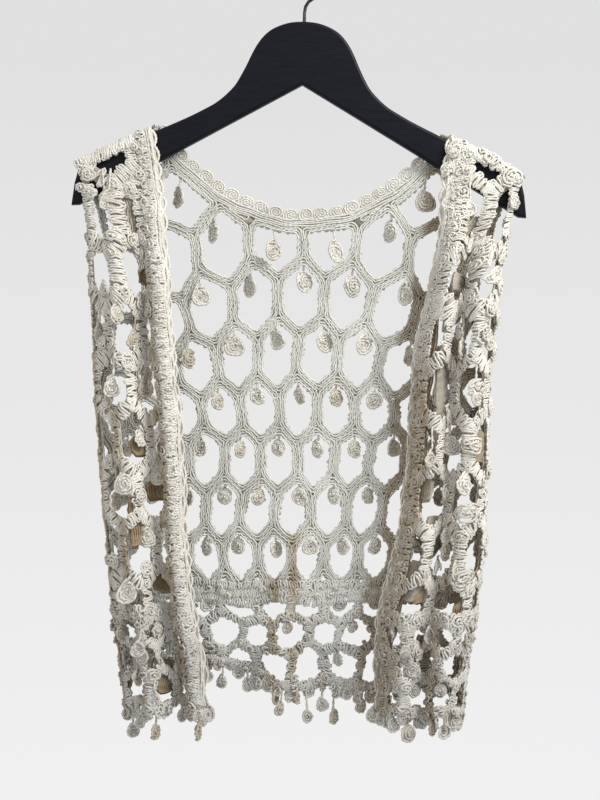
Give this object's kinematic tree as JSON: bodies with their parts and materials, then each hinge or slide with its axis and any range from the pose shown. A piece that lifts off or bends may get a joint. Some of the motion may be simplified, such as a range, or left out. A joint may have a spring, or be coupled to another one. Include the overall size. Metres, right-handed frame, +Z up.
{
  "type": "crochet vest on hanger",
  "caption": "Open-work crochet vest, sleeveless and open at the front, with net panels, hanging drops and a lace hem, on a black wooden hanger with a wire hook.",
  "frame": {"origin": "inner top of the hanger's hook, where it rests on its rail", "axes": "+Z up, the front of the vest towards -Y, +X to the right as the front is seen"},
  "size_m": [0.4448, 0.0746, 0.7709],
  "materials": {
    "ecru_cotton": "matt crocheted yarn",
    "black_wood": "satin lacquer",
    "black_wire": "satin black"
  },
  "bodies": {
    "root": {"back_panel": "ecru_cotton", "front_left": "ecru_cotton", "front_right": "ecru_cotton", "neck_band": "ecru_cotton", "front_band_left": "ecru_cotton", "front_band_right": "ecru_cotton", "hem_back": "ecru_cotton", "hem_left": "ecru_cotton", "hem_right": "ecru_cotton", "fringe_back": "ecru_cotton", "fringe_left": "ecru_cotton", "fringe_right": "ecru_cotton", "hanger_arms": "black_wood", "hanger_hook": "black_wire"}
  },
  "joints": []
}
